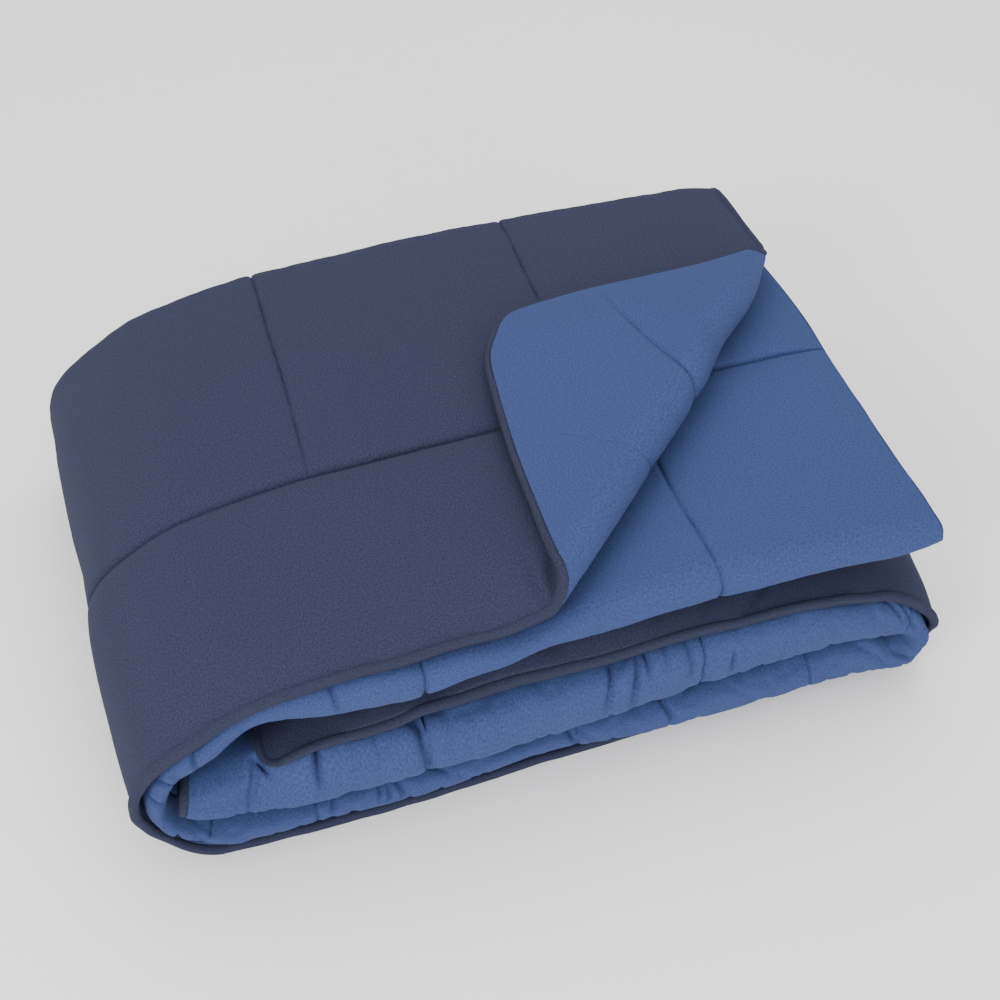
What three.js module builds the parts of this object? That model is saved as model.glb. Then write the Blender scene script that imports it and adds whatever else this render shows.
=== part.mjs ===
// A two-colour quilt for a single bed, folded as it is put away and lying on a flat surface.
// It is folded in three across its width, so that a strip of three layers is left, and the strip
// is then wound in three along its length. The front corner of the top layer is turned back.
//
// Sizes are in millimetres, +X runs along the strip, +Y from the front to the back and +Z up.
// u is the distance along the winding from the quilt's right hem, and v the flat distance from its
// front hem. h is the height over the middle of the quilt, towards the navy face.

import * as THREE from 'three';

// Flat quilt
const TOP_LAYER = 477;            // flat width of the layer that shows on top
const FOLD_ARC = 41;              // cloth taken up by each fold between two layers
const MIDDLE_LAYER = 478;
const LOWER_LAYER = 474;
const BACK_FOLD = { start: TOP_LAYER, end: TOP_LAYER + FOLD_ARC };
const FRONT_FOLD = { start: BACK_FOLD.end + MIDDLE_LAYER, end: BACK_FOLD.end + MIDDLE_LAYER + FOLD_ARC };
const FLAT_WIDTH = FRONT_FOLD.end + LOWER_LAYER;
const CORNER_RADIUS = 42;         // the quilt's four corners are rounded
const PAD_HALF = 10.5;            // half thickness in the middle of a pad
const SEAM_HALF = 3.6;            // half thickness at a line of quilting
const HEM_HALF = 3.0;             // half thickness where the binding takes hold
const SEAM_REACH = 48;            // how far from a seam the pad is still rising
const PANEL_GAP = 0.15;           // each panel stops this far from the quilt's middle

// Folded stack
const LAYER_PITCH = 25.5;         // nominal distance between two layers
const LAYER_AT = { top: 1 / 6, middle: 3 / 6, lower: 5 / 6 };   // share of the strip's thickness
const LOFT_LIMIT = 1.1;           // pads plump up by this much at most where the strip lies loose
const FOLD_DEPTH = 12;            // how far a fold between two layers rounds out, to its middle
const BACK_Y = 249;               // the back of the stack
const LOWER_HEM_Y = 229;          // where the third layer's hem lies, just inside the back
const END_SLIP = 54;              // how far the two inner layers reach past the top one at the left end
const SLIP_REACH = 400;           // distance from the left end over which the slip grows
const SLIP_START = 330;           // flat distances from the front hem between which the slip grows
const SLIP_END = 660;
const HEM_DROOP = 7;              // how far the front hem hangs below its layer
const DROOP_REACH = 70;           // flat distance from the hem

// Turned-back corner: the crease runs from the front hem to the right hem, bowed towards the corner
const CREASE_FRONT = { x: 4, y: -245 };
const CREASE_RIGHT = { x: 334, y: 98 };
const CREASE_BOW = 9;
const ROLL_RADIUS = 11;           // of the quilt's middle, where it turns over
const FLAP_SHRINK = 0.92;         // the flap lies a little gathered
const CREASE_LIFT = 8;            // how far the top layer rises towards the crease
const LIFT_REACH = 110;           // distance from the crease
const CORNER_PART = 560;          // distance from the right hem that all of this stays within

// Quilting: rows of long pads, set like bricks. A row ends at a flat distance from the front hem,
// and its cross seams start at a flat distance from the right hem, measured along the cloth.
const PAD_LENGTH = 255;
const FIRST_ROW = 194;
const THIRD_ROW = 772;
const FIFTH_ROW = 1328;
const ROWS_OF_PADS = [
  { to: FIRST_ROW, first: 152.5, pitch: 3 * PAD_LENGTH },
  { to: 492, first: 237.5, pitch: PAD_LENGTH },
  { to: THIRD_ROW, first: 110, pitch: PAD_LENGTH },
  { to: 1050, first: 195, pitch: PAD_LENGTH },
  { to: FIFTH_ROW, first: 67.5, pitch: PAD_LENGTH },
  { to: FLAT_WIDTH, first: 195, pitch: 3 * PAD_LENGTH },
];

// Past this distance the cloth lies gathered on the inside of the winding, by this share.
const GATHER_START = 1085;
const GATHER = 0.155;

const CORNER_PULL = 77;           // the first seam is pulled askew at the turned-back corner
const PULL_REACH = 250;
const PULL_TAPER = 1.4;           // more than 1 makes the pull fade faster away from the hem

// Binding
const BINDING_RADIUS = 4.2;
const BINDING_SIDES = 6;
const BINDING_GAP = 0.3;
const ROLL_BINDING_GAP = 1.6;     // where the hem rolls over at the crease
const ROLL_MARGIN = 2;            // and this much before and after the roll
const BINDING_WIDTH = 2 * BINDING_RADIUS * Math.cos(Math.PI / BINDING_SIDES) + BINDING_GAP;

// The way in which the strip of three layers is wound, from the right hem over the top, round the
// left end, along the surface, round the right end and back to the left in the middle. Outer and
// inner are the strip's two faces, given at the front. The back columns say how far both move in x
// and how high they are at the back. belly is how much higher the top is half way to the back, and
// hem and fold are how far the front hem and the front fold reach.
const WINDING_COLUMNS = [
  'outerX', 'outerZ', 'innerX', 'innerZ', 'backX', 'backOuterZ', 'backInnerZ', 'belly', 'hem', 'fold',
];
const WINDING = [
  // over the top, from the right hem
  [ 328, 226,  342, 170,   0, 232, 154,  6, -243, -240],
  [ 220, 231,  220, 176,   0, 236, 158,  6, -246, -245],
  [  80, 233,   80, 173,   0, 237, 160,  6, -246, -246],
  [ -10, 232,  -10, 164,   0, 236, 160,  5, -246, -254],
  [ -60, 228,  -60, 158,   0, 234, 158,  9, -246, -264],
  [-120, 217, -120, 154,   0, 231, 156, 16, -246, -264],
  [-185, 213, -185, 156,   0, 224, 152, 15, -246, -256],
  [-256, 210, -246, 165,  -8, 208, 148, 10, -246, -242],
  [-304, 190, -284, 144, -16, 186, 134,  8, -246, -246],
  // round the left end
  [-340, 160, -310, 124, -22, 158, 118,  6, -246, -246],
  [-358, 126, -322, 105, -26, 122, 104,  2, -246, -246],
  [-362,  88, -326,  88, -28,  86,  89,  0, -246, -248],
  [-356,  52, -323,  74, -28,  50,  78,  0, -246, -252],
  [-340,  22, -309,  64, -24,  20,  71,  0, -248, -256],
  [-312,   2, -288,  60, -16,   1,  69,  0, -250, -260],
  // along the surface
  [-264,  -4, -256,  59,  -8,  -4,  69,  0, -252, -264],
  [-120,  -4, -120,  58,   0,  -4,  70,  0, -253, -266],
  [  30,  -4,   30,  66,   0,  -4,  71,  0, -247, -262],
  [ 140,  -4,  140,  80,   0,  -4,  74,  0, -240, -262],
  [ 220,  -4,  220,  82,   0,  -4,  74,  0, -238, -262],
  // round the right end
  [ 290,  -3,  288,  76,   0,  -3,  74,  0, -238, -260],
  [ 334,   8,  318,  64,   0,   8,  73,  0, -238, -258],
  [ 364,  40,  326,  74,   0,  40,  77,  0, -238, -258],
  [ 374,  78,  326,  83,   0,  79,  79,  0, -240, -258],
  [ 362, 106,  319,  89,   0, 112,  82,  0, -246, -258],
  [ 332, 122,  303,  91,   0, 134,  84,  0, -250, -260],
  [ 292, 139,  280,  92,   0, 144,  85,  0, -250, -262],
  // back to the left, in the middle
  [ 220, 158,  220,  93,   0, 148,  85,  0, -250, -264],
  [ 110, 168,  110,  88,   0, 150,  84,  0, -250, -266],
  [ -10, 168,  -10,  72,   0, 149,  83,  0, -250, -266],
  [-110, 153, -118,  63,   0, 146,  82,  0, -250, -266],
  [-190, 138, -204,  66,  -6, 140,  80,  0, -250, -262],
  [-246, 128, -264,  74, -12, 130,  80,  0, -250, -258],
  [-300, 126, -312,  85, -18, 124,  86,  0, -250, -256],
];

// One column of the winding at a whole or part row, on a smooth curve through the rows.
function winding(column, row) {
  const last = WINDING.length - 1;
  const k = Math.min(Math.max(Math.floor(row), 0), last - 1);
  const t = row - k;
  const at = (i) => WINDING[i][WINDING_COLUMNS.indexOf(column)];
  const b = at(k);
  const c = at(k + 1);
  const a = k > 0 ? at(k - 1) : 2 * b - c;
  const d = k < last - 1 ? at(k + 2) : 2 * c - b;
  if (t < 0) return b + t * (c - b);
  if (t > 1) return c + (t - 1) * (c - b);
  const quadratic = 2 * a - 5 * b + 4 * c - d;
  const cubic = 3 * b - a - 3 * c + d;
  return 0.5 * (2 * b + (c - a) * t + quadratic * t ** 2 + cubic * t ** 3);
}

// Share of the belly at a place across the depth: none at the front and back, all in the middle.
const bellyShare = (y) => Math.max(0, 1 - (y / BACK_Y) ** 2);

// The strip's outer and inner face at a row of the winding, at a distance across the depth.
function faces(row, y) {
  const back = (y + BACK_Y) / (2 * BACK_Y);
  const mix = (front, rear) => winding(front, row) * (1 - back) + winding(rear, row) * back;
  const belly = winding('belly', row) * bellyShare(y);
  const shift = winding('backX', row) * back;
  return {
    outer: new THREE.Vector3(winding('outerX', row) + shift, y, mix('outerZ', 'backOuterZ') + belly),
    inner: new THREE.Vector3(winding('innerX', row) + shift, y, mix('innerZ', 'backInnerZ')),
  };
}

// Distance from the right hem to each sixteenth of a row, along the layer on the outside.
const STEPS_PER_ROW = 16;
const distances = [0];
for (let i = 1; i <= (WINDING.length - 1) * STEPS_PER_ROW; i++) {
  const spot = (k) => {
    const { outer, inner } = faces(k / STEPS_PER_ROW, 0);
    return outer.lerp(inner, LAYER_AT.top);
  };
  distances.push(distances[i - 1] + spot(i).distanceTo(spot(i - 1)));
}
const WOUND_LENGTH = distances[distances.length - 1] - END_SLIP;

// The row of the winding at a distance along it.
function rowAt(distance) {
  const last = distances.length - 1;
  if (distance <= 0) return distance / (distances[1] * STEPS_PER_ROW);
  if (distance >= distances[last]) {
    const step = distances[last] - distances[last - 1];
    return (last + (distance - distances[last]) / step) / STEPS_PER_ROW;
  }
  let low = 0;
  let high = last;
  while (high - low > 1) {
    const middle = (low + high) >> 1;
    if (distances[middle] > distance) high = middle;
    else low = middle;
  }
  return (low + (distance - distances[low]) / (distances[high] - distances[low])) / STEPS_PER_ROW;
}

// How far a place has slipped along the winding: the two inner layers reach further at the end.
function slip(u, v) {
  const alongEnd = Math.min(Math.max((u - WOUND_LENGTH + SLIP_REACH) / SLIP_REACH, 0), 1);
  const pastFold = Math.min(Math.max((v - SLIP_START) / (SLIP_END - SLIP_START), 0), 1);
  return END_SLIP * alongEnd ** 2 * pastFold ** 2 * (3 - 2 * pastFold);
}

// Where v lies in the back-and-forth section of three layers: y across the depth, w as a share of
// the strip's thickness from its outer face, and the direction of the navy face, in y and w.
function section(v, hemReach, foldReach) {
  const hem = hemReach + BINDING_WIDTH;
  const back = BACK_Y - PAD_HALF - FOLD_DEPTH;
  const front = foldReach + PAD_HALF + FOLD_DEPTH;
  if (v <= BACK_FOLD.start) {
    const y = hem + (back - hem) * v / TOP_LAYER;
    return { y, w: LAYER_AT.top, ny: 0, nw: -1 };
  }
  if (v < BACK_FOLD.end) {
    const turn = Math.PI * (v - BACK_FOLD.start) / FOLD_ARC;
    return {
      y: back + FOLD_DEPTH * Math.sin(turn), w: (2 - Math.cos(turn)) / 6,
      ny: Math.sin(turn), nw: -Math.cos(turn),
    };
  }
  if (v <= FRONT_FOLD.start) {
    const y = back + (front - back) * (v - BACK_FOLD.end) / MIDDLE_LAYER;
    return { y, w: LAYER_AT.middle, ny: 0, nw: 1 };
  }
  if (v < FRONT_FOLD.end) {
    const turn = Math.PI * (v - FRONT_FOLD.start) / FOLD_ARC;
    return {
      y: front - FOLD_DEPTH * Math.sin(turn), w: (4 - Math.cos(turn)) / 6,
      ny: Math.sin(turn), nw: Math.cos(turn),
    };
  }
  const y = front + (LOWER_HEM_Y - front) * (v - FRONT_FOLD.end) / LOWER_LAYER;
  return { y, w: LAYER_AT.lower, ny: 0, nw: -1 };
}

// The crease of the turned-back corner, seen from above: ex and ey point at the corner.
const creaseLength = Math.hypot(CREASE_RIGHT.x - CREASE_FRONT.x, CREASE_RIGHT.y - CREASE_FRONT.y);
const ex = (CREASE_RIGHT.y - CREASE_FRONT.y) / creaseLength;
const ey = -(CREASE_RIGHT.x - CREASE_FRONT.x) / creaseLength;

// How far a place seen from above is past the line where the cloth starts to roll over.
function pastCrease(x, y) {
  const alongX = x - CREASE_FRONT.x;
  const alongY = y - CREASE_FRONT.y;
  const along = Math.min(Math.max((alongY * ex - alongX * ey) / creaseLength, 0), 1);
  const start = CREASE_BOW * Math.sin(Math.PI * along) - Math.PI * ROLL_RADIUS / 2;
  return alongX * ex + alongY * ey - start;
}

// How far the top layer is lifted at a signed distance past the crease.
function liftAt(past) {
  const near = 1 - Math.min(Math.max(-past, 0) / LIFT_REACH, 1);
  return CREASE_LIFT * near * near;
}

// Height of the top layer's middle at a place seen from above.
const HALVINGS = 30;
function topLayerZ(x, y) {
  let low = 0;
  let high = WOUND_LENGTH / 2;
  for (let i = 0; i < HALVINGS; i++) {
    const middle = (low + high) / 2;
    if (winding('outerX', rowAt(middle)) > x) low = middle;
    else high = middle;
  }
  const { outer, inner } = faces(rowAt(low), y);
  return outer.z + (inner.z - outer.z) * LAYER_AT.top;
}

// Whether a flat place lies in the part of the top layer that the turned-back corner shapes.
const inCornerPart = (u, v) => v <= TOP_LAYER && u <= CORNER_PART;

// Whether a flat place lies where the cloth rolls over at the crease.
function onRoll(u, v) {
  if (!inCornerPart(u, v)) return false;
  const row = rowAt(u);
  const past = pastCrease(winding('outerX', row), section(v, winding('hem', row), 0).y);
  return past > -ROLL_MARGIN && past < Math.PI * ROLL_RADIUS + ROLL_MARGIN;
}

// A flat place (u, v) at height h, in the folded quilt.
function place(u, v, h) {
  const row = rowAt(u + slip(u, v));
  const s = section(v, winding('hem', row), winding('fold', row));
  const { outer, inner } = faces(row, s.y);
  const thickness = outer.distanceTo(inner);
  const scale = Math.min(thickness / (3 * LAYER_PITCH), LOFT_LIMIT);
  const inCorner = inCornerPart(u, v);
  const past = inCorner ? pastCrease(outer.x, s.y) : -Infinity;
  if (past > 0) {
    const turn = Math.min(past / ROLL_RADIUS, Math.PI);
    const beyond = Math.max(past - Math.PI * ROLL_RADIUS, 0) * FLAP_SHRINK;
    const across = turn < Math.PI ? ROLL_RADIUS * Math.sin(turn) : -beyond;
    const x = outer.x + (across - past) * ex;
    const y = s.y + (across - past) * ey;
    const z = topLayerZ(x, y) + liftAt(across) + ROLL_RADIUS * (1 - Math.cos(turn));
    const normal = new THREE.Vector3(-ex * Math.sin(turn), -ey * Math.sin(turn), Math.cos(turn));
    return new THREE.Vector3(x, y, z).addScaledVector(normal, h);
  }
  const middle = outer.clone().lerp(inner, s.w);
  const fromCrease = Math.min(-past / LIFT_REACH, 1);
  middle.z -= HEM_DROOP * scale * fromCrease * Math.max(0, 1 - Math.max(v, 0) / DROOP_REACH) ** 2;
  middle.z += liftAt(past);
  middle.z = Math.max(middle.z, BINDING_RADIUS, halfThickness(u, v) * scale);
  const inwards = inner.sub(outer).multiplyScalar(s.nw * h * scale / thickness);
  const point = middle.add(inwards);
  point.y = s.y + s.ny * h;
  point.z = Math.max(point.z, 0);
  return point;
}

// How far the first row's seam is pulled towards the front hem, near the turned-back corner.
function cornerPull(u, v) {
  const nearHem = Math.max(0, 1 - u / PULL_REACH) ** PULL_TAPER;
  const nearSeam = Math.max(0, 1 - Math.abs(v - FIRST_ROW) / FIRST_ROW);
  return CORNER_PULL * nearHem * nearSeam;
}

// The flat distance along the cloth, for a distance along the winding, and the reverse.
const alongCloth = (u) => u + GATHER * Math.max(0, u - GATHER_START);
const alongWinding = (cloth) => cloth - GATHER / (1 + GATHER) * Math.max(0, cloth - GATHER_START);

// Half thickness of the quilt at (u, v): thin at seams and hems, full in the middle of a pad.
function halfThickness(u, v) {
  const unpulled = v + cornerPull(u, v + cornerPull(u, v));
  const row = ROWS_OF_PADS.find((r) => unpulled <= r.to) ?? ROWS_OF_PADS.at(-1);
  const cloth = alongCloth(u);
  const crossSeam = row.first + Math.max(0, Math.round((cloth - row.first) / row.pitch)) * row.pitch;
  let seam = Math.abs(cloth - crossSeam);
  for (const r of ROWS_OF_PADS.slice(0, -1)) seam = Math.min(seam, Math.abs(unpulled - r.to));
  const hem = Math.min(u, v, WOUND_LENGTH - u, FLAT_WIDTH - v);
  const rise = (distance) => 1 - (1 - Math.min(Math.max(distance, 0) / SEAM_REACH, 1)) ** 2;
  const atSeam = SEAM_HALF + (PAD_HALF - SEAM_HALF) * rise(seam);
  const atHem = HEM_HALF + (PAD_HALF - HEM_HALF) * rise(hem);
  return Math.min(atSeam, atHem);
}

// The lines of the flat grid. Those across the strip are given by flat distance from the front hem
// and how many lines lead up to it, evenly spaced.
const NEAR_HEM = 6;
const NEAR_SEAM = 26;
const LINES_ACROSS = [
  { to: NEAR_HEM, lines: 1 },
  { to: CORNER_RADIUS, lines: 2 },
  { to: FIRST_ROW - NEAR_SEAM, lines: 2 },
  { to: FIRST_ROW + NEAR_SEAM, lines: 2 },
  { to: BACK_FOLD.start, lines: 3 },
  { to: BACK_FOLD.end, lines: 4 },
  { to: THIRD_ROW - NEAR_SEAM, lines: 2 },
  { to: THIRD_ROW + NEAR_SEAM, lines: 2 },
  { to: FRONT_FOLD.start, lines: 2 },
  { to: FRONT_FOLD.end, lines: 4 },
  { to: FIFTH_ROW, lines: 3 },
  { to: FLAT_WIDTH - CORNER_RADIUS, lines: 1 },
  { to: FLAT_WIDTH, lines: 2 },
];

// Those along the length fall on the cross seams, which all start at whole steps of the grid. They
// are thinned out past the left end, and doubled in the tight bend round the right end.
const FIRST_LINE = 25;
const LINE_STEP = PAD_LENGTH / 6;
const THINNED_FROM = 760;
const THINNED_EVERY = 3;
const TIGHT_BEND = { from: distances[20 * STEPS_PER_ROW], to: distances[24 * STEPS_PER_ROW] };

function gridLines() {
  const across = [0];
  for (const { to, lines } of LINES_ACROSS) {
    const from = across.at(-1);
    for (let k = 1; k <= lines; k++) across.push(from + (to - from) * k / lines);
  }
  const along = [0, NEAR_HEM];
  for (let k = 0; alongWinding(FIRST_LINE + k * LINE_STEP) < WOUND_LENGTH - CORNER_RADIUS; k++) {
    const u = alongWinding(FIRST_LINE + k * LINE_STEP);
    const atBend = u > TIGHT_BEND.from && u < TIGHT_BEND.to;
    if (u < THINNED_FROM || atBend || k % THINNED_EVERY !== 0) along.push(u);
    if (atBend) along.push(u + LINE_STEP / 2);
  }
  along.push(WOUND_LENGTH - CORNER_RADIUS / 2, WOUND_LENGTH - NEAR_HEM, WOUND_LENGTH);
  return { along, across };
}

// A grid place moved so that the grid follows the pulled seam and the corners come out round.
const CORNER_BLEND = 105;         // the grid is squeezed within this distance of a rounded corner
function gridPlace(u, lineV) {
  const v = lineV - cornerPull(u, lineV);
  const fromHem = Math.min(v, FLAT_WIDTH - v);
  if (fromHem >= CORNER_RADIUS) return [u, v];
  const rise = CORNER_RADIUS - fromHem;
  const inset = CORNER_RADIUS - Math.sqrt(CORNER_RADIUS ** 2 - rise ** 2);
  if (u < CORNER_BLEND) return [inset + u * (1 - inset / CORNER_BLEND), v];
  if (u > WOUND_LENGTH - CORNER_BLEND) {
    const fromEnd = WOUND_LENGTH - u;
    return [WOUND_LENGTH - inset - fromEnd * (1 - inset / CORNER_BLEND), v];
  }
  return [u, v];
}

// Cuts the triangles of a flat mesh along the line where measure is zero.
function cutAlong(mesh, measure) {
  const values = mesh.points.map(measure);
  const cuts = new Map();
  const cutPoint = (a, b) => {
    const key = Math.min(a, b) + ':' + Math.max(a, b);
    if (!cuts.has(key)) {
      const t = values[a] / (values[a] - values[b]);
      const [p, q] = [mesh.points[a], mesh.points[b]];
      mesh.points.push([p[0] + t * (q[0] - p[0]), p[1] + t * (q[1] - p[1])]);
      cuts.set(key, mesh.points.length - 1);
    }
    return cuts.get(key);
  };
  const triangles = [];
  for (const triangle of mesh.triangles) {
    const alone = [0, 1, 2].find((i) => {
      const others = [1, 2].map((k) => values[triangle[(i + k) % 3]]);
      const own = values[triangle[i]];
      return (own > 0 && others.every((x) => x <= 0)) || (own < 0 && others.every((x) => x >= 0));
    });
    const [a, b, c] = [0, 1, 2].map((k) => triangle[((alone ?? 0) + k) % 3]);
    const crossing = alone !== undefined && (values[b] !== 0 || values[c] !== 0);
    if (!crossing) {
      triangles.push(triangle);
    } else if (values[b] === 0 || values[c] === 0) {
      const cut = values[b] === 0 ? cutPoint(a, c) : cutPoint(a, b);
      if (values[b] === 0) triangles.push([a, b, cut], [cut, b, c]);
      else triangles.push([a, cut, c], [cut, b, c]);
    } else {
      const ab = cutPoint(a, b);
      const ac = cutPoint(a, c);
      triangles.push([a, ab, ac], [ab, b, c], [ab, c, ac]);
    }
  }
  mesh.triangles = triangles;
}

// The flat quilt as triangles, cut along the lines in which the corner rolls over.
const ROLL_STEPS = 4;
function flatMesh() {
  const { along, across } = gridLines();
  const mesh = { points: [], triangles: [] };
  for (const v of across) {
    for (const u of along) mesh.points.push(gridPlace(u, v));
  }
  const n = along.length;
  for (let j = 0; j + 1 < across.length; j++) {
    for (let i = 0; i + 1 < n; i++) {
      const a = j * n + i;
      mesh.triangles.push([a, a + 1, a + n + 1], [a, a + n + 1, a + n]);
    }
  }
  for (let k = 0; k <= ROLL_STEPS; k++) {
    const start = Math.PI * ROLL_RADIUS * k / ROLL_STEPS;
    cutAlong(mesh, ([u, v]) => {
      if (!inCornerPart(u, v)) return -1;
      const row = rowAt(u);
      return pastCrease(winding('outerX', row), section(v, winding('hem', row), 0).y) - start;
    });
  }
  return mesh;
}

// The points along the rim of the flat mesh, in order.
function rimOf(mesh) {
  const next = new Map();
  const edges = new Set();
  for (const [a, b, c] of mesh.triangles) {
    for (const [p, q] of [[a, b], [b, c], [c, a]]) edges.add(p + ':' + q);
  }
  for (const edge of edges) {
    const [p, q] = edge.split(':').map(Number);
    if (!edges.has(q + ':' + p)) next.set(p, q);
  }
  const rim = [[...next.keys()][0]];
  while (next.get(rim[rim.length - 1]) !== rim[0]) rim.push(next.get(rim[rim.length - 1]));
  return rim;
}

// A closed geometry from points and triangles, turned so that its faces point out.
function closedGeometry(points, triangles) {
  let volume = 0;
  for (const [a, b, c] of triangles) {
    volume += points[a].dot(points[b].clone().cross(points[c]));
  }
  const index = triangles.flatMap(([a, b, c]) => (volume > 0 ? [a, b, c] : [a, c, b]));
  const geometry = new THREE.BufferGeometry().setFromPoints(points);
  geometry.setIndex(index);
  geometry.computeVertexNormals();
  return geometry;
}

// One panel of the quilt with its half of the filling. side is 1 for the face and -1 for the reverse.
function panel(flat, rim, side) {
  const count = flat.points.length;
  const points = [
    ...flat.points.map(([u, v]) => place(u, v, side * halfThickness(u, v))),
    ...flat.points.map(([u, v]) => place(u, v, side * PANEL_GAP)),
  ];
  const triangles = [];
  for (const [a, b, c] of flat.triangles) {
    triangles.push([a, b, c], [a + count, c + count, b + count]);
  }
  rim.forEach((p, i) => {
    const q = rim[(i + 1) % rim.length];
    triangles.push([p, p + count, q + count], [p, q + count, q]);
  });
  return closedGeometry(points, triangles);
}

// Direction out of the flat quilt at a place on its rim.
function outwards([u, v]) {
  const centreU = Math.min(Math.max(u, CORNER_RADIUS), WOUND_LENGTH - CORNER_RADIUS);
  const centreV = Math.min(Math.max(v, CORNER_RADIUS), FLAT_WIDTH - CORNER_RADIUS);
  return new THREE.Vector2(u - centreU, v - centreV).normalize();
}

// The binding: a narrow roll of cloth round the whole quilt.
function binding(flat, rim) {
  const toCentre = BINDING_RADIUS * Math.cos(Math.PI / BINDING_SIDES);
  const points = [];
  for (const p of rim) {
    const [u, v] = flat.points[p];
    const out = outwards([u, v]);
    const edge = place(u, v, 0);
    const gap = onRoll(u, v) ? ROLL_BINDING_GAP : BINDING_GAP;
    const along = edge.clone().sub(place(u - out.x, v - out.y, 0)).normalize();
    const upwards = place(u, v, 1).sub(edge);
    for (let k = 0; k < BINDING_SIDES; k++) {
      const angle = 2 * Math.PI * (k + 0.5) / BINDING_SIDES;
      const reach = gap + toCentre + BINDING_RADIUS * Math.cos(angle);
      const point = edge.clone().addScaledVector(along, reach);
      point.addScaledVector(upwards, BINDING_RADIUS * Math.sin(angle));
      point.z = Math.max(point.z, 0);
      points.push(point);
    }
  }
  const triangles = [];
  rim.forEach((_, i) => {
    const here = i * BINDING_SIDES;
    const there = ((i + 1) % rim.length) * BINDING_SIDES;
    for (let k = 0; k < BINDING_SIDES; k++) {
      const m = (k + 1) % BINDING_SIDES;
      triangles.push([here + k, there + k, there + m], [here + k, there + m, here + m]);
    }
  });
  return closedGeometry(points, triangles);
}

// Materials
const navyCotton = new THREE.MeshStandardMaterial({ color: 0x40465c, roughness: 0.92, metalness: 0 });
const blueCotton = new THREE.MeshStandardMaterial({ color: 0x4a618f, roughness: 0.92, metalness: 0 });
const navyTape = new THREE.MeshStandardMaterial({ color: 0x454757, roughness: 0.9, metalness: 0 });

function named(name, geometry, material) {
  const mesh = new THREE.Mesh(geometry, material);
  mesh.name = name;
  return mesh;
}

const flat = flatMesh();
const rim = rimOf(flat);
const quilt = new THREE.Group();
quilt.add(named('face_panel', panel(flat, rim, 1), navyCotton));
quilt.add(named('reverse_panel', panel(flat, rim, -1), blueCotton));
quilt.add(named('edge_binding', binding(flat, rim), navyTape));

// The origin is under the middle of the stack, on the surface.
const box = new THREE.Box3().setFromObject(quilt);
quilt.position.set(-(box.min.x + box.max.x) / 2, -(box.min.y + box.max.y) / 2, 0);

export default quilt;
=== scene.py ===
# %% [markdown]
# # A folded two-colour quilt
# A quilt is two cloths with a soft filling between them, held together by lines of stitching. This
# lesson lays the cloth out flat first, works out how thick it is at every place, and only then folds
# it up. Every function below works on u, the distance along the winding from the right hem, and v,
# the flat distance from the front hem, so that seams, hems and weave can be drawn on flat cloth.
# Lengths are in millimetres until a mesh is made, because Blender counts in metres.

import math

import bpy
import numpy as np
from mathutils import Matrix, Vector


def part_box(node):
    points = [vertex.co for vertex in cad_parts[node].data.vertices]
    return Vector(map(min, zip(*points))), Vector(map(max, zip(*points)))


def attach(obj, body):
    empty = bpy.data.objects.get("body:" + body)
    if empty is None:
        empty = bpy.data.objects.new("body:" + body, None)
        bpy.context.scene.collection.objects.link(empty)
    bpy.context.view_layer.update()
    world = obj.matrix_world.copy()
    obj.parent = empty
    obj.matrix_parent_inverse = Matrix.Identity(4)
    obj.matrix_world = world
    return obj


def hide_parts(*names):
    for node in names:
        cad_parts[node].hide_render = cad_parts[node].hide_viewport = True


MM_PER_M = 1000
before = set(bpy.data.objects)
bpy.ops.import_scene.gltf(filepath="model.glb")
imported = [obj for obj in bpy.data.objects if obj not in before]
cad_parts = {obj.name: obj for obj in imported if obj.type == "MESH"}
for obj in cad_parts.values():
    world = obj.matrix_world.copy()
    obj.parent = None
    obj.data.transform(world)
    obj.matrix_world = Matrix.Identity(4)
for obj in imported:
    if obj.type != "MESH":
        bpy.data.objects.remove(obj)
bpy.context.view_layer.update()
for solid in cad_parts:
    low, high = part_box(solid)
    print(solid, [round(x, 3) for x in low], [round(x, 3) for x in high])

# %% [markdown]
# ## The flat quilt
# These are the sizes a maker would cut to. The width is three layers and the two bends between them.
# The quilting is laid out like brickwork, in rows of long pads: each row of the table ends at a
# distance from the front hem, and has its own first cross seam. The layers inside the winding lie
# gathered, so that more cloth goes round than the winding is long.

# %% Name the flat sizes
TOP_LAYER = 477
FOLD_ARC = 41
MIDDLE_LAYER = 478
LOWER_LAYER = 474
BACK_FOLD = (TOP_LAYER, TOP_LAYER + FOLD_ARC)
FRONT_FOLD = (BACK_FOLD[1] + MIDDLE_LAYER, BACK_FOLD[1] + MIDDLE_LAYER + FOLD_ARC)
FLAT_WIDTH = FRONT_FOLD[1] + LOWER_LAYER
CORNER_RADIUS = 42
END_CORNER_RADIUS = 9

PAD_LENGTH = 255
FIRST_ROW = 194
ROWS_OF_PADS = [
    dict(to=FIRST_ROW, first=152.5, pitch=3 * PAD_LENGTH),
    dict(to=492, first=237.5, pitch=PAD_LENGTH),
    dict(to=772, first=110, pitch=PAD_LENGTH),
    dict(to=1050, first=195, pitch=PAD_LENGTH),
    dict(to=1328, first=67.5, pitch=PAD_LENGTH),
    dict(to=FLAT_WIDTH, first=195, pitch=3 * PAD_LENGTH),
]
GATHER_START = 1085
GATHER = 0.155
print("flat width", FLAT_WIDTH, "mm in", len(ROWS_OF_PADS), "rows of pads")

# %% [markdown]
# ## How the strip is wound
# The quilt is folded in three across its width, which leaves a strip of three layers, and the strip
# is wound in three. One row of this table is one place along the strip: where its outer and inner
# face are at the front of the stack, how far they move and how high they are at the back, how much
# the top swells half way, and how far the front hem and the front fold reach. A table of places and a
# smooth curve through them was chosen because each can be read off the stack and corrected alone.

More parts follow.
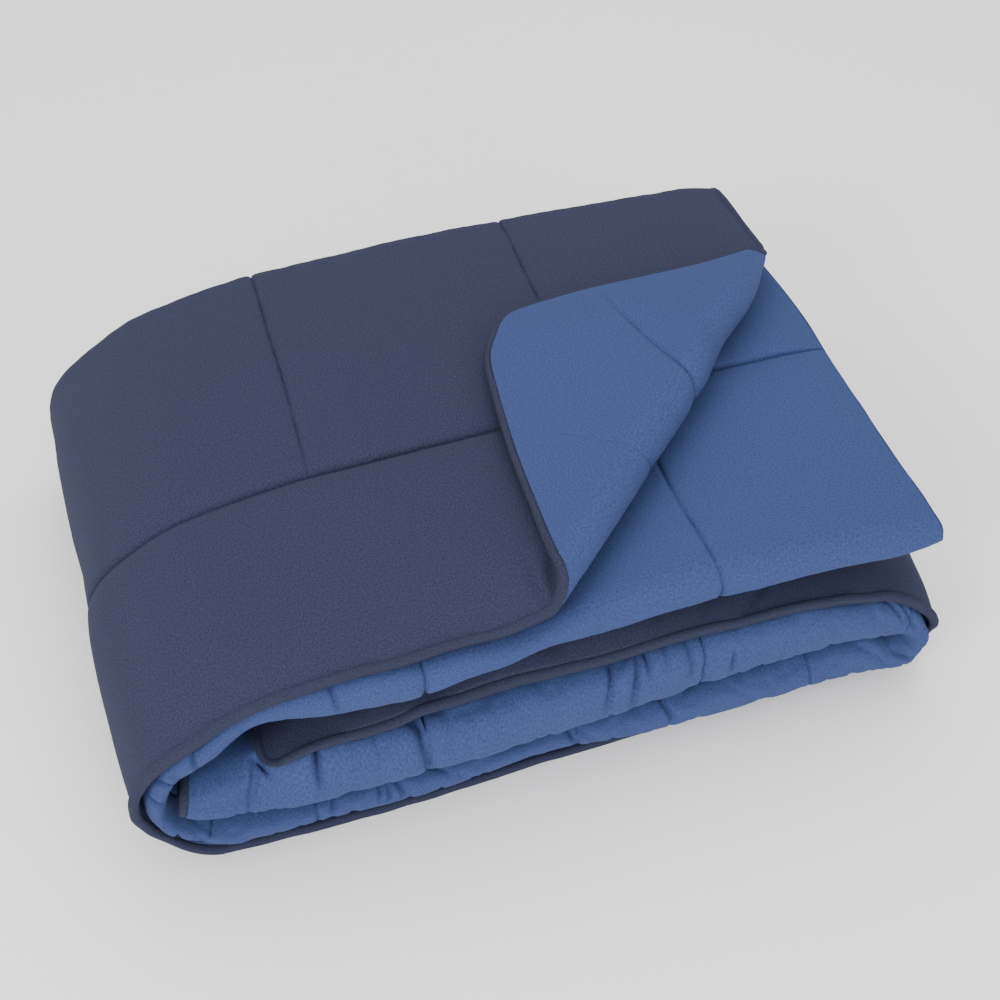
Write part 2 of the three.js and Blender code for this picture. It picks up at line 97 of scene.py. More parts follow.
# %% Set out the winding
COLUMNS = ["outer_x", "outer_z", "inner_x", "inner_z", "back_x", "back_outer_z", "back_inner_z",
           "belly", "hem", "fold"]
WINDING = np.array([
    # over the top, from the right hem
    [328, 226, 342, 170, 0, 232, 154, 6, -243, -240],
    [220, 231, 220, 176, 0, 236, 158, 6, -246, -245],
    [80, 233, 80, 173, 0, 237, 160, 6, -246, -246],
    [-10, 232, -10, 164, 0, 236, 160, 5, -246, -254],
    [-60, 228, -60, 158, 0, 234, 158, 9, -246, -264],
    [-120, 217, -120, 154, 0, 231, 156, 16, -246, -264],
    [-185, 213, -185, 156, 0, 224, 152, 15, -246, -256],
    [-256, 210, -246, 165, -8, 208, 148, 10, -246, -242],
    [-304, 190, -284, 144, -16, 186, 134, 8, -246, -246],
    # round the left end
    [-340, 160, -310, 124, -22, 158, 118, 6, -246, -246],
    [-358, 126, -322, 105, -26, 122, 104, 2, -246, -246],
    [-362, 88, -326, 88, -28, 86, 89, 0, -246, -248],
    [-356, 52, -323, 74, -28, 50, 78, 0, -246, -252],
    [-340, 22, -309, 64, -24, 20, 71, 0, -248, -256],
    [-312, 2, -288, 60, -16, 1, 69, 0, -250, -260],
    # along the surface
    [-264, -4, -256, 59, -8, -4, 69, 0, -252, -264],
    [-120, -4, -120, 58, 0, -4, 70, 0, -253, -266],
    [30, -4, 30, 66, 0, -4, 71, 0, -247, -262],
    [140, -4, 140, 80, 0, -4, 74, 0, -240, -262],
    [220, -4, 220, 82, 0, -4, 74, 0, -238, -262],
    # round the right end
    [290, -3, 288, 76, 0, -3, 74, 0, -238, -260],
    [334, 8, 318, 64, 0, 8, 73, 0, -238, -258],
    [364, 40, 326, 74, 0, 40, 77, 0, -238, -258],
    [374, 78, 326, 83, 0, 79, 79, 0, -240, -258],
    [362, 106, 319, 89, 0, 112, 82, 0, -246, -258],
    [332, 122, 303, 91, 0, 134, 84, 0, -250, -260],
    [292, 139, 280, 92, 0, 144, 85, 0, -250, -262],
    # back to the left, in the middle
    [220, 158, 220, 93, 0, 148, 85, 0, -250, -264],
    [110, 168, 110, 88, 0, 150, 84, 0, -250, -266],
    [-10, 168, -10, 72, 0, 149, 83, 0, -250, -266],
    [-110, 153, -118, 63, 0, 146, 82, 0, -250, -266],
    [-190, 138, -204, 66, -6, 140, 80, 0, -250, -262],
    [-246, 128, -264, 74, -12, 130, 80, 0, -250, -258],
    [-300, 126, -312, 85, -18, 124, 86, 0, -250, -256],
], float)
LAST = len(WINDING) - 1
BACK_Y = 249
print(LAST + 1, "places along the winding")


def winding(column, row):
    """One column of the winding at whole or part rows, on a smooth curve through the rows."""
    values = WINDING[:, COLUMNS.index(column)]
    k = np.clip(np.floor(row).astype(int), 0, LAST - 1)
    t = row - k
    b = values[k]
    c = values[k + 1]
    a = np.where(k > 0, values[np.maximum(k - 1, 0)], 2 * b - c)
    d = np.where(k < LAST - 1, values[np.minimum(k + 2, LAST)], 2 * c - b)
    curve = 2 * b + (c - a) * t + (2 * a - 5 * b + 4 * c - d) * t**2 + (3 * b - a - 3 * c + d) * t**3
    return np.where(t < 0, b + t * (c - b), np.where(t > 1, c + (t - 1) * (c - b), 0.5 * curve))


def faces(row, y):
    """The strip's outer and inner face at rows of the winding and distances across the depth."""
    back = (y + BACK_Y) / (2 * BACK_Y)
    belly = winding("belly", row) * np.maximum(0, 1 - (y / BACK_Y) ** 2)
    shift = winding("back_x", row) * back
    outer_z = winding("outer_z", row) * (1 - back) + winding("back_outer_z", row) * back + belly
    inner_z = winding("inner_z", row) * (1 - back) + winding("back_inner_z", row) * back
    outer = np.stack([winding("outer_x", row) + shift, y + 0 * row, outer_z], -1)
    inner = np.stack([winding("inner_x", row) + shift, y + 0 * row, inner_z], -1)
    return outer, inner


# %% [markdown]
# The cloth can't stretch, so a place on it is found by its distance along the winding. The strip is
# three layers thick, so the middles of its layers lie 1, 3 and 5 sixths of the way from its outer to
# its inner face. The distance is measured in the outside layer. The two inner layers go round tighter
# bends, which leaves their ends further on.

# %% Measure along the winding
STEPS_PER_ROW = 16
END_SLIP = 54
SLIP_REACH = 400
SLIP_FROM = 330
SLIP_TO = 660
measured_rows = np.arange(LAST * STEPS_PER_ROW + 1) / STEPS_PER_ROW
outer_path, inner_path = faces(measured_rows, np.zeros(len(measured_rows)))
path = outer_path + (inner_path - outer_path) / 6
distances = np.concatenate([[0], np.cumsum(np.linalg.norm(np.diff(path, axis=0), axis=1))])
WOUND_LENGTH = distances[-1] - END_SLIP
print("winding", round(WOUND_LENGTH, 1), "mm long")


def row_at(distance):
    """The row of the winding at a distance along it, carried on straight past both ends."""
    row = np.interp(distance, distances, measured_rows)
    before = distance / distances[1] / STEPS_PER_ROW
    after = LAST + (distance - distances[-1]) / (distances[-1] - distances[-2]) / STEPS_PER_ROW
    return np.where(distance < 0, before, np.where(distance > distances[-1], after, row))


def slip(u, v):
    """How much further along the inner layers lie near the end."""
    along_end = np.clip((u - WOUND_LENGTH + SLIP_REACH) / SLIP_REACH, 0, 1)
    past_fold = np.clip((v - SLIP_FROM) / (SLIP_TO - SLIP_FROM), 0, 1)
    return END_SLIP * along_end**2 * past_fold**2 * (3 - 2 * past_fold)


# %% [markdown]
# ## The three layers of the strip
# Seen from the end, the strip is a flat S: the top layer runs back, the middle one forward and the
# lower one back again, joined by two half-round folds. Given v, this cell returns y across the
# depth, w through the strip's thickness, and which way the navy side looks there. The fold in front
# has a blunt nose, because it shows, and padding does not bend to a clean half circle.

# %% Fold across the width
PAD_HALF = 10.5
LAYER_PITCH = 25.5
LOFT_LIMIT = 1.1
FOLD_DEPTH = 12
NOSE_POWER = 0.66
LOWER_HEM_Y = 229
BINDING_RADIUS = 4.2
BINDING_WIDTH = 7.6


def section(v, hem_reach, fold_reach):
    """y, w and the navy side's direction (ny, nw) at a flat distance v from the front hem."""
    hem = hem_reach + BINDING_WIDTH
    back = BACK_Y - PAD_HALF - FOLD_DEPTH
    front = fold_reach + PAD_HALF + FOLD_DEPTH
    back_turn = math.pi * (v - BACK_FOLD[0]) / FOLD_ARC
    front_turn = math.pi * (v - FRONT_FOLD[0]) / FOLD_ARC
    where = [v <= BACK_FOLD[0], v < BACK_FOLD[1], v <= FRONT_FOLD[0], v < FRONT_FOLD[1]]
    y = np.select(where, [
        hem + (back - hem) * v / TOP_LAYER,
        back + FOLD_DEPTH * np.sin(back_turn),
        back + (front - back) * (v - BACK_FOLD[1]) / MIDDLE_LAYER,
        front - FOLD_DEPTH * np.clip(np.sin(front_turn), 0, 1) ** NOSE_POWER,
    ], front + (LOWER_HEM_Y - front) * (v - FRONT_FOLD[1]) / LOWER_LAYER)
    back_w = (2 - np.cos(back_turn)) / 6
    front_w = (4 - np.cos(front_turn)) / 6
    w = np.select(where, [1 / 6, back_w, 3 / 6, front_w], 5 / 6)
    ny = np.select(where, [0, np.sin(back_turn), 0, np.sin(front_turn)], 0)
    nw = np.select(where, [-1, -np.cos(back_turn), 1, np.cos(front_turn)], -1)
    return y, w, ny, nw


print("front fold's y and w", *[x.round(3) for x in section(np.array([997.0, 1016.5]), -246, -264)[:2]])

# %% [markdown]
# ## The turned-back corner
# The front right corner of the top layer is folded back over itself. The crease is a slightly bowed
# line seen from above. Cloth that would lie past it rolls over a half round and comes back on top,
# a layer higher, with its reverse showing. Turning the corner's faces with a rotate would stretch the
# cloth at the crease, so each place is rolled over by its own distance past it.

# %% Fold the corner back
CREASE_FRONT = (4, -245)
CREASE_RIGHT = (334, 98)
CREASE_BOW = 9
ROLL_RADIUS = 11
FLAP_SHRINK = 0.92
CREASE_LIFT = 8
LIFT_REACH = 110
CORNER_PART = 560
LAST_TOP_ROW = 8
TOP_SAMPLES = 400
crease_length = math.dist(CREASE_FRONT, CREASE_RIGHT)
ex = (CREASE_RIGHT[1] - CREASE_FRONT[1]) / crease_length
ey = -(CREASE_RIGHT[0] - CREASE_FRONT[0]) / crease_length
print("crease", round(crease_length), "mm long")


def past_crease(x, y):
    """How far a place seen from above is past the line where the cloth starts to roll over."""
    along_x = x - CREASE_FRONT[0]
    along_y = y - CREASE_FRONT[1]
    along = np.clip((along_y * ex - along_x * ey) / crease_length, 0, 1)
    start = CREASE_BOW * np.sin(math.pi * along) - math.pi * ROLL_RADIUS / 2
    return along_x * ex + along_y * ey - start


def lift_at(past):
    """How far the top layer is lifted at a signed distance past the crease."""
    near = 1 - np.clip(-past / LIFT_REACH, 0, 1)
    return CREASE_LIFT * near**2


top_rows = np.linspace(LAST_TOP_ROW, -1, TOP_SAMPLES)
top_x = winding("outer_x", top_rows)


def top_layer_z(x, y):
    """Height of the top layer's middle at a place seen from above."""
    outer, inner = faces(np.interp(x, top_x, top_rows), y)
    return outer[..., 2] + (inner[..., 2] - outer[..., 2]) / 6


# %% [markdown]
# ## Puckers along the seams
# Stitching draws the cloth together a little, so it puckers along every seam. Drawing such puckers
# by hand looks stiff. Here a strip of cloth is run through the cloth simulation instead: it is sewn
# down along both long edges, it is slightly too large for its place, and the filling pushes it up. It
# is measured in metres, because the simulation is. Only what departs from the strip's even swell is
# kept, as a small map of heights.

# %% Simulate a strip between two seams
STRIP_LENGTH = 0.48
STRIP_WIDTH = 0.12
STRIP_STEP = 0.003
STRIP_FRAMES = 20
SPARE_CLOTH = 0.012
START_SEED = 7
START_ROUGHNESS = 0.002
SMOOTHINGS = 6
NEAR_SEAM = slice(2, 10)


def swollen_strip():
    """Heights of a strip of cloth between two seams, as rows from one seam to the other."""
    count_x = round(STRIP_LENGTH / STRIP_STEP) + 1
    count_y = round(STRIP_WIDTH / STRIP_STEP) + 1
    x, y = np.meshgrid(np.arange(count_x) * STRIP_STEP, np.arange(count_y) * STRIP_STEP)
    z = np.random.default_rng(START_SEED).uniform(0, START_ROUGHNESS, x.shape)
    for _ in range(SMOOTHINGS):
        z = (z + np.roll(z, 1, 0) + np.roll(z, -1, 0) + np.roll(z, 1, 1) + np.roll(z, -1, 1)) / 5
    z[[0, -1]] = 0
    quads = [(j * count_x + i, j * count_x + i + 1, (j + 1) * count_x + i + 1, (j + 1) * count_x + i)
             for j in range(count_y - 1) for i in range(count_x - 1)]
    mesh = bpy.data.meshes.new("strip")
    mesh.from_pydata(np.stack([x, y, z], -1).reshape(-1, 3).tolist(), [], quads)
    strip = bpy.data.objects.new("strip", mesh)
    bpy.context.scene.collection.objects.link(strip)
    sewn = strip.vertex_groups.new(name="sewn")
    sewn.add([k for k in range(count_x * count_y) if k // count_x in (0, count_y - 1)], 1, "ADD")
    cloth = strip.modifiers.new("Cloth", "CLOTH")
    cloth.settings.vertex_group_mass = "sewn"
    cloth.settings.mass = 0.01
    cloth.settings.bending_stiffness = 10
    cloth.settings.use_pressure = True
    cloth.settings.uniform_pressure_force = 4
    cloth.settings.shrink_min = -SPARE_CLOTH
    cloth.settings.effector_weights.gravity = 0
    cloth.collision_settings.use_collision = False
    cloth.point_cache.frame_start = 1
    cloth.point_cache.frame_end = STRIP_FRAMES
    for frame_number in range(1, STRIP_FRAMES + 1):
        bpy.context.scene.frame_set(frame_number)
    swollen = strip.evaluated_get(bpy.context.evaluated_depsgraph_get()).data
    places = np.zeros(3 * count_x * count_y)
    swollen.vertices.foreach_get("co", places)
    bpy.data.objects.remove(strip)
    bpy.data.meshes.remove(mesh)
    bpy.context.scene.frame_set(1)
    return places.reshape(count_y, count_x, 3)[..., 2]


heights = swollen_strip()
ruffles = heights - heights.mean(1, keepdims=True)
ruffles /= ruffles[NEAR_SEAM].std()
print("strip", heights.shape, "rises to", round(float(heights.max()) * MM_PER_M, 1), "mm")

# %% Read the puckers off the strip
PUCKER_HEIGHT = 0.3
PUCKER_REACH = 42
STRIP_USED = 0.95 * STRIP_LENGTH * MM_PER_M
CELL = STRIP_STEP * MM_PER_M
INSIDE_LAST_CELL = 1.001


def puckers(along, distance):
    """Unevenness at a distance from a seam; the strip is laid to and fro along the seam."""
    to_and_fro = np.abs((along / STRIP_USED) % 2 - 1) * STRIP_USED
    i = np.clip(to_and_fro / CELL, 0, ruffles.shape[1] - INSIDE_LAST_CELL)
    j = np.clip(distance / CELL, 0, ruffles.shape[0] - INSIDE_LAST_CELL)
    p, q = i.astype(int), j.astype(int)
    s, t = i - p, j - q
    near = ruffles[q, p] * (1 - s) + ruffles[q, p + 1] * s
    far = ruffles[q + 1, p] * (1 - s) + ruffles[q + 1, p + 1] * s
    fade = np.clip(1 - distance / PUCKER_REACH, 0, 1)
    return PUCKER_HEIGHT * (near * (1 - t) + far * t) * fade


print("puckers 10 mm from a seam", puckers(np.arange(0, 100, 12.5), np.full(8, 10.0)).round(2))

# %% [markdown]
# ## How thick the quilt is
# The filling swells between the seams. Right at a seam the two cloths are sewn hard together, so
# each side drops into it steeply: a sharp groove with a soft shoulder, which is what makes a line of
# quilting look dark and thin from above. The cross seams are pulled less tight. Near the corner that
# is turned back the first row's seams run askew, and there the blue cloth lies loose, so that its
# seams hardly show.

# %% Make random unevenness
LATTICE = 32


def uneven(a, b, seed):
    """Smooth unevenness between -1 and 1; a wave is about two units long."""
    lattice = np.random.default_rng(seed).uniform(-1, 1, (LATTICE, LATTICE))
    i, j = np.floor(a).astype(int), np.floor(b).astype(int)
    s, t = a - i, b - j
    s, t = s * s * (3 - 2 * s), t * t * (3 - 2 * t)
    i0, i1, j0, j1 = i % LATTICE, (i + 1) % LATTICE, j % LATTICE, (j + 1) % LATTICE
    near = lattice[i0, j0] * (1 - s) + lattice[i1, j0] * s
    far = lattice[i0, j1] * (1 - s) + lattice[i1, j1] * s
    return near * (1 - t) + far * t


print("unevenness", uneven(np.arange(6) * 0.7, np.zeros(6), 5).round(2))

# %% Find the nearest seams
CORNER_PULL = 77
PULL_REACH = 250
PULL_TAPER = 1.4
SLANT_START = 135
SLANT = 0.75
# so near to the seam above, the second row's first cross seam fades out
JUNCTION = 60
JUNCTION_END = 365
FAR = 1e4


def corner_pull(u, v):
    """How far the first row's seam is pulled towards the front hem, near the turned corner."""
    near_hem = np.maximum(0, 1 - u / PULL_REACH) ** PULL_TAPER
    near_seam = np.maximum(0, 1 - np.abs(v - FIRST_ROW) / FIRST_ROW)
    return CORNER_PULL * near_hem * near_seam


def along_cloth(u):
    """Flat distance along the cloth: past the right end it lies gathered inside the winding."""
    return u + GATHER * np.maximum(0, u - GATHER_START)


def along_winding(cloth):
    """The same the other way round: distance along the winding of a place on flat cloth."""
    return cloth - GATHER / (1 + GATHER) * np.maximum(0, cloth - GATHER_START)


def slanted(v):
    """Where the first row's first cross seam lies: it runs askew."""
    return SLANT_START + SLANT * v


def seam_distances(u, v):
    """Distance to the nearest seam along the rows, and to the nearest cross seam."""
    straight = v + corner_pull(u, v + corner_pull(u, v))
    u = along_cloth(u)
    along = np.min([np.abs(straight - row["to"]) for row in ROWS_OF_PADS[:-1]], axis=0)
    cross = np.full(np.shape(u), FAR)
    start = 0
    for row in ROWS_OF_PADS:
        first = row["first"] if start else slanted(v)
        nearest = first + np.maximum(0, np.round((u - first) / row["pitch"])) * row["pitch"]
        inside = (straight > start) & (straight <= row["to"])
        ease = np.maximum(0, start + JUNCTION - v) if start == FIRST_ROW else 0
        cross = np.where(inside, np.abs(u - nearest) + np.where(u < JUNCTION_END, ease, 0), cross)
        start = row["to"]
    return along, cross


found = seam_distances(np.array([610.0, 747.5]), np.full(2, 340.0))
print("distances to the seams", *[x.round(1) for x in found])

# %% Measure the padding
SEAM_HALF = 1.0
HEM_HALF = {1: 4.2, -1: 4.4}
HEM_REACH = 64
SEAM_REACH = 48
GROOVE = 2.4
CROSS_GROOVE = 1.4
GROOVE_SHARE = 0.82
CROSS_DEPTH = {1: 0.4, -1: 0.56}
CROSS_VARIES = dict(share=0.35, size_u=60, size_v=9, seed=31)
# the two sides take their puckers from different places of the strip
PUCKERS_START = (300, 100)
LOOSE_SEAM_HALF = 5.6
LOOSE_CROSS = 0.3
LOOSE_FROM = 330
LOOSE_OVER = 60


def rise(distance, groove=GROOVE):
    """Share of the full padding at a distance from a seam."""
    soft = 1 - (1 - np.clip(distance / SEAM_REACH, 0, 1)) ** 2
    steep = 1 - np.exp(-distance / groove)
    return GROOVE_SHARE * steep + (1 - GROOVE_SHARE) * soft


def half_thickness(u, v, side=1):
    """Half the quilt's thickness: thin at seams and hems, full in the middle of a pad."""
    along, cross = seam_distances(u, v)
    hem = np.maximum(np.min([u, v, WOUND_LENGTH - u, FLAT_WIDTH - v], axis=0), 0)
    loose = np.clip((LOOSE_FROM - u - v) / LOOSE_OVER, 0, 1) * (side < 0)
    pulls = uneven(u / CROSS_VARIES["size_u"], v / CROSS_VARIES["size_v"], CROSS_VARIES["seed"])
    cross_depth = CROSS_DEPTH[side] * (1 - LOOSE_CROSS * loose) * (1 + CROSS_VARIES["share"] * pulls)
    seam_half = SEAM_HALF + (LOOSE_SEAM_HALF - SEAM_HALF) * loose
    at_cross = 1 - cross_depth * (1 - rise(cross, CROSS_GROOVE))
    at_seam = seam_half + (PAD_HALF - seam_half) * rise(along) * at_cross
    at_seam = at_seam + puckers(u + PUCKERS_START[0] * side, along)
    at_seam = at_seam + puckers(v + PUCKERS_START[1] * side, cross)
    swell = 1 - (1 - np.clip(hem / HEM_REACH, 0, 1)) ** 2
    return np.minimum(at_seam, HEM_HALF[side] + (PAD_HALF - HEM_HALF[side]) * swell)


tried = half_thickness(np.array([610.0, 747.5]), np.full(2, 340.0))
print("half thickness in a pad and at a seam", tried.round(1))

# %% [markdown]
# ## Creases at the folds
# Where padded cloth goes round a tight fold, the inside has to go somewhere, and the cloth breaks
# into short creases. They could be sculpted, or drawn as bump, but a crease that shows in the outline
# has to be in the mesh. The big ones are listed one by one: each row of the table is one crease, with
# its side (1 navy, -1 blue), its middle on the flat cloth, the way it runs (0 is across the rows), half
# its length, its width and its depth. Each is a narrow sharp line in a soft hollow that is steep on
# one side and gentle on the other. Finer wrinkles come from random unevenness, used for its zero
# lines: a wrinkle is sharp where the random height changes sign.

# %% Crease the cloth
CREASE_COLUMNS = ["side", "u", "v", "turn", "half_length", "wide", "deep"]
CREASE_TABLE = [
    # lower fold of the stack
    [-1, 852, 1029, 13, 26, 4, 9.0],
    [-1, 838, 1032, -74, 20, 5, 4.0],
    [-1, 840, 1018, -82, 18, 4, 3.5],
    [-1, 884, 1030, 70, 24, 6, 2.0],
    [-1, 976, 1030, 12, 16, 3.5, 8.5],
    [-1, 996, 1020, 70, 20, 6, 2.0],
    [-1, 1018, 1028, 4, 12, 3.5, 6.5],
    [-1, 1026, 1024, 0, 12, 3, 6.0],
    [-1, 1036, 1028, -14, 18, 3.5, 9.0],
    [-1, 1075, 1031, -55, 10, 4, 7.0],
    [-1, 1110, 1026, 74, 26, 7, 2.5],
    [-1, 1150, 1034, 80, 24, 6, 2.5],
    [-1, 1191, 1030, -20, 20, 4, 9.0],
    [-1, 1208, 1020, -35, 13, 6, 5.0],
    [-1, 1176, 1022, 40, 14, 6, 4.0],
    [-1, 1240, 1030, 64, 22, 7, 2.5],
    [-1, 1280, 1030, -22, 20, 3.5, 9.0],
    [-1, 1300, 1036, 60, 14, 6, 3.5],
    [-1, 1350, 1026, -60, 20, 7, 2.5],
    [-1, 1400, 1030, 80, 30, 7, 2.5],
    [-1, 1446, 1026, 50, 16, 6, 3.0],
    [-1, 1486, 1024, -66, 22, 5, 5.0],
    [-1, 1530, 1020, -58, 20, 4, 7.0],
    [-1, 1556, 1030, -25, 16, 6, 5.0],
    # fold above it
    [-1, 2202, 1008, 2, 22, 4, 9.0],
    [-1, 2197, 998, -30, 13, 4, 8.0],
    [-1, 2222, 1008, 40, 14, 6, 3.0],
    [-1, 2158, 1000, -1, 20, 3.5, 9.0],
    [-1, 2124, 1008, 65, 20, 7, 2.0],
    [-1, 2084, 1004, -13, 26, 3, 8.5],
    [-1, 2050, 1006, 10, 14, 6, 3.0],
    [-1, 2016, 1010, 62, 20, 7, 2.5],
    [-1, 1982, 1002, 20, 14, 6, 3.0],
    [-1, 1940, 1003, 18, 22, 5, 9.0],
    [-1, 1928, 996, 60, 10, 4, 5.0],
    [-1, 1919, 1007, 14, 20, 3.5, 9.0],
    [-1, 1909, 1001, -3, 11, 3, 6.5],
    [-1, 1892, 998, 4, 12, 5, 4.5],
    [-1, 1872, 1004, -8, 18, 3, 6.0],
    [-1, 1850, 1010, 66, 18, 7, 2.5],
    [-1, 1834, 1016, 0, 8, 3.5, 6.0],
    [-1, 1806, 1002, 35, 15, 6, 2.5],
    [-1, 1770, 1006, 72, 26, 7, 2.0],
    [-1, 1724, 1000, 30, 16, 6, 2.5],
    [-1, 1690, 1008, -40, 15, 6, 3.0],
    [-1, 1664, 1002, -62, 24, 4, 8.0],
    [-1, 1640, 1006, -62, 24, 4, 8.0],
    # top fold
    [-1, 454, 1006, -8, 22, 3, 2.0],
    [-1, 522, 1004, -10, 20, 3.5, 6.0],
    [-1, 600, 1008, 10, 12, 5, 3.5],
    [-1, 300, 1008, 5, 14, 5, 4.0],
    [-1, 736, 1008, 4, 18, 3, 8.0],
    [-1, 710, 1008, -24, 16, 3.5, 6.5],
    [-1, 690, 1014, 20, 12, 5, 4.5],
    [-1, 657, 1006, 30, 20, 3.5, 8.0],
    [-1, 640, 1000, 60, 18, 4, 6.0],
    [-1, 790, 1006, 10, 18, 4, 6.0],
    [-1, 820, 1010, -30, 16, 5, 5.0],
    # the navy strip between the top fold and the next
    [1, 2168, 26, 48, 22, 5, 4.0],
    [1, 2148, 34, 50, 24, 5, 3.5],
    [1, 2092, 24, 20, 20, 6, 4.0],
    [1, 2040, 28, -50, 22, 6, 3.0],
    [1, 1802, 18, -55, 26, 6, 4.0],
    [1, 1846, 24, -40, 20, 6, 3.0],
    [1, 1900, 26, 50, 22, 6, 2.5],
    [1, 2000, 20, 62, 26, 6, 3.0],
    # the top layer, next to the turned-back corner
    [1, 328, 21, -16, 22, 4, 5.5],
    [1, 342, 26, -4, 26, 5, 3.5],
]
CREASES = [dict(zip(CREASE_COLUMNS, row)) for row in CREASE_TABLE]
DEEPEST = 9
CREASE_BEND = 0.08
FADING_POWER = 0.8
CREASE_EDGE = 3.4
EDGE_SHARE = 0.6
EDGE_POWER = 1.2
STEEP_SIDE = 1.3
GENTLE_SIDE = 2.8
SOFT_POWER = 1.9

WRINKLES = [dict(size_u=26, size_v=40, seed=21), dict(size_u=17, size_v=15, seed=22)]
WRINKLE_DEPTH = 3.2
WRINKLE_WIDTH = 0.35
WRINKLE_LEAN = 90
WRINKLE_POWER = 1.5
WRINKLED_V = 1016
WRINKLED_HALF = 46
WRINKLES_FROM = 640
WRINKLES_OVER = 200
FEWEST_WRINKLES = 0.25


def creases(u, v, side):
    """How deep the cloth of one side is creased at flat places."""
    depth = np.zeros(np.shape(u))
    for crease in CREASES:
        if crease["side"] != side:
            continue
        turn = math.radians(crease["turn"])
        du, dv = u - crease["u"], v - crease["v"]
        along = dv * math.cos(turn) + du * math.sin(turn)
        bend = CREASE_BEND * along**2 / crease["half_length"]
        across = du * math.cos(turn) - dv * math.sin(turn) + bend
        slope = np.where(across > 0, GENTLE_SIDE, STEEP_SIDE) * crease["wide"]
        fading = np.clip(1 - (along / crease["half_length"]) ** 2, 0, 1) ** FADING_POWER
        sharp = EDGE_SHARE * np.clip(1 - np.abs(across) / CREASE_EDGE, 0, 1) ** EDGE_POWER
        soft = (1 - EDGE_SHARE) * np.clip(1 - np.abs(across) / slope, 0, 1) ** SOFT_POWER
        depth = np.maximum(depth, crease["deep"] * (sharp + soft) * fading)
    if side > 0:
        return depth
    in_fold = np.clip(1 - ((v - WRINKLED_V) / WRINKLED_HALF) ** 2, 0, 1)
    later = np.clip((u - WRINKLES_FROM) / WRINKLES_OVER, FEWEST_WRINKLES, 1)
    fine = np.zeros(np.shape(u))
    for wrinkles in WRINKLES:
        leaning = u / wrinkles["size_u"] + v / WRINKLE_LEAN
        height = uneven(leaning, v / wrinkles["size_v"], wrinkles["seed"])
        sharp = np.clip(1 - np.abs(height) / WRINKLE_WIDTH, 0, 1) ** WRINKLE_POWER
        fine = fine + sharp / len(WRINKLES)
    return np.minimum(depth + WRINKLE_DEPTH * fine * in_fold * later, DEEPEST)


print(len(CREASES), "creases, the first", creases(np.array([852.0]), np.array([1029.0]), -1), "mm deep")

# %% [markdown]
# ## Pushes and sagging
# Hands have pushed the stack about: a fold sags where nothing holds it up, a hem sticks out a little
# further. In Blender this could be done by dragging with proportional editing, and the table does
# just that: each row is one drag, with its middle, its reach and its way. It fades out smoothly and
# moves everything around it, so nothing collides. After the pushes, a small random unevenness takes
# the ruler out of the long lines.

# %% Let the stack settle unevenly
SETTLE = 1.6
SETTLE_FREE = 45
